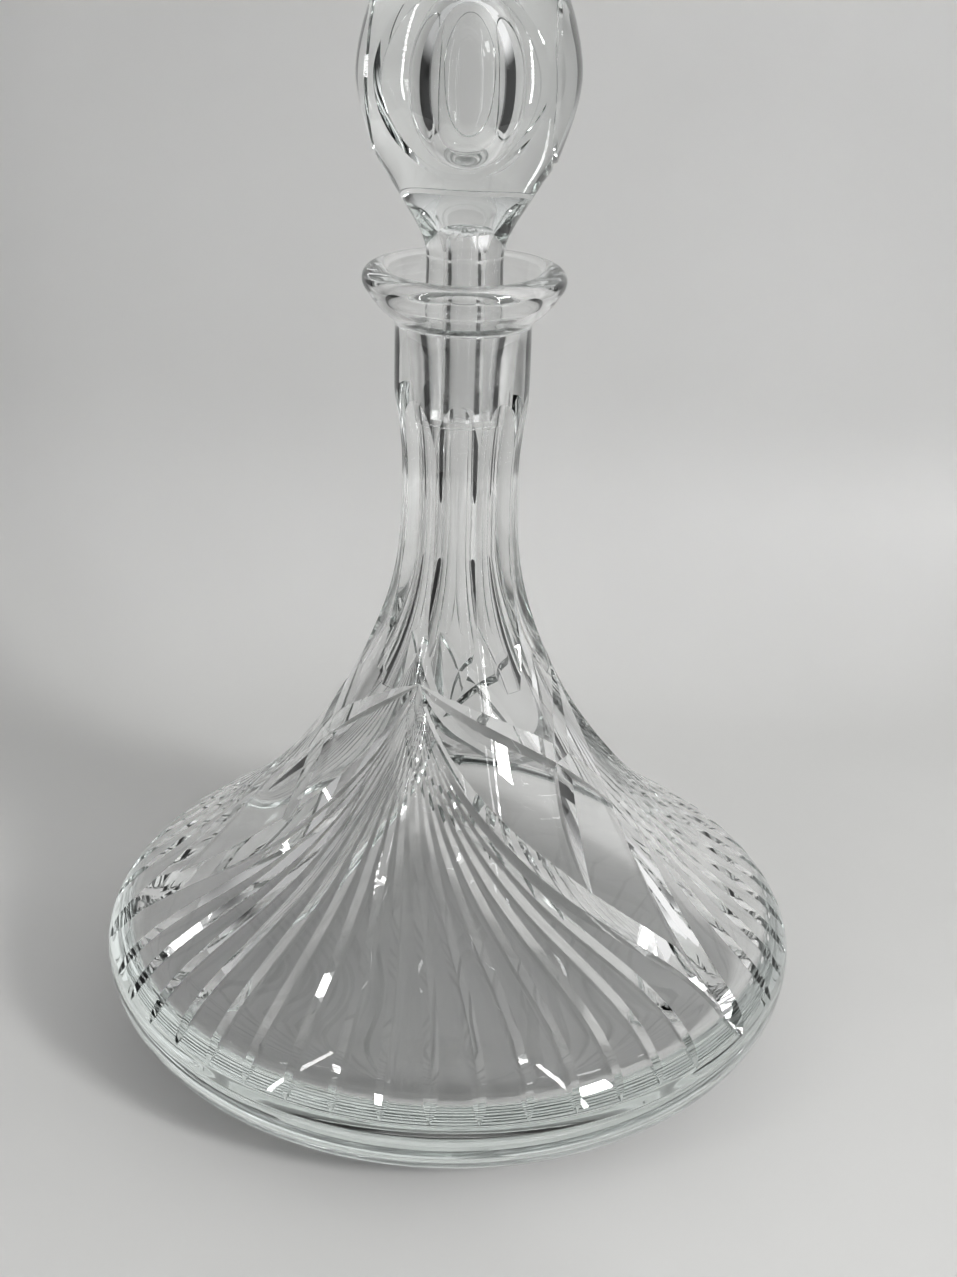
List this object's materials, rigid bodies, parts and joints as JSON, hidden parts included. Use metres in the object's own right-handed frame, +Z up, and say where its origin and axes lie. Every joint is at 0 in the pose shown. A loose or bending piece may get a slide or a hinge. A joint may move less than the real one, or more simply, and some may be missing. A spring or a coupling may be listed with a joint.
{
  "type": "ship's decanter with stopper",
  "caption": "Cut-glass ship's decanter for wine: wide flat base with fan cuts, long fluted neck, cup-shaped mouth and a lift-out ground ball stopper.",
  "frame": {"origin": "centre of the flat underside, on the decanter's axis", "axes": "+Z up along the decanter's axis towards the mouth; -Y towards the front, where one fan of cuts faces"},
  "size_m": [0.195, 0.195, 0.292],
  "materials": {
    "crystal": "clear polished lead-crystal type glass with cut and polished facets; the plug and its socket are finely ground"
  },
  "bodies": {
    "vessel": {"vessel": "crystal"},
    "stopper": {"stopper": "crystal"}
  },
  "joints": [
    {"name": "stopper_lift", "type": "slide", "parent": "vessel", "child": "stopper", "axis": [0, 0, 1], "range_m": [0, 0.03]}
  ]
}
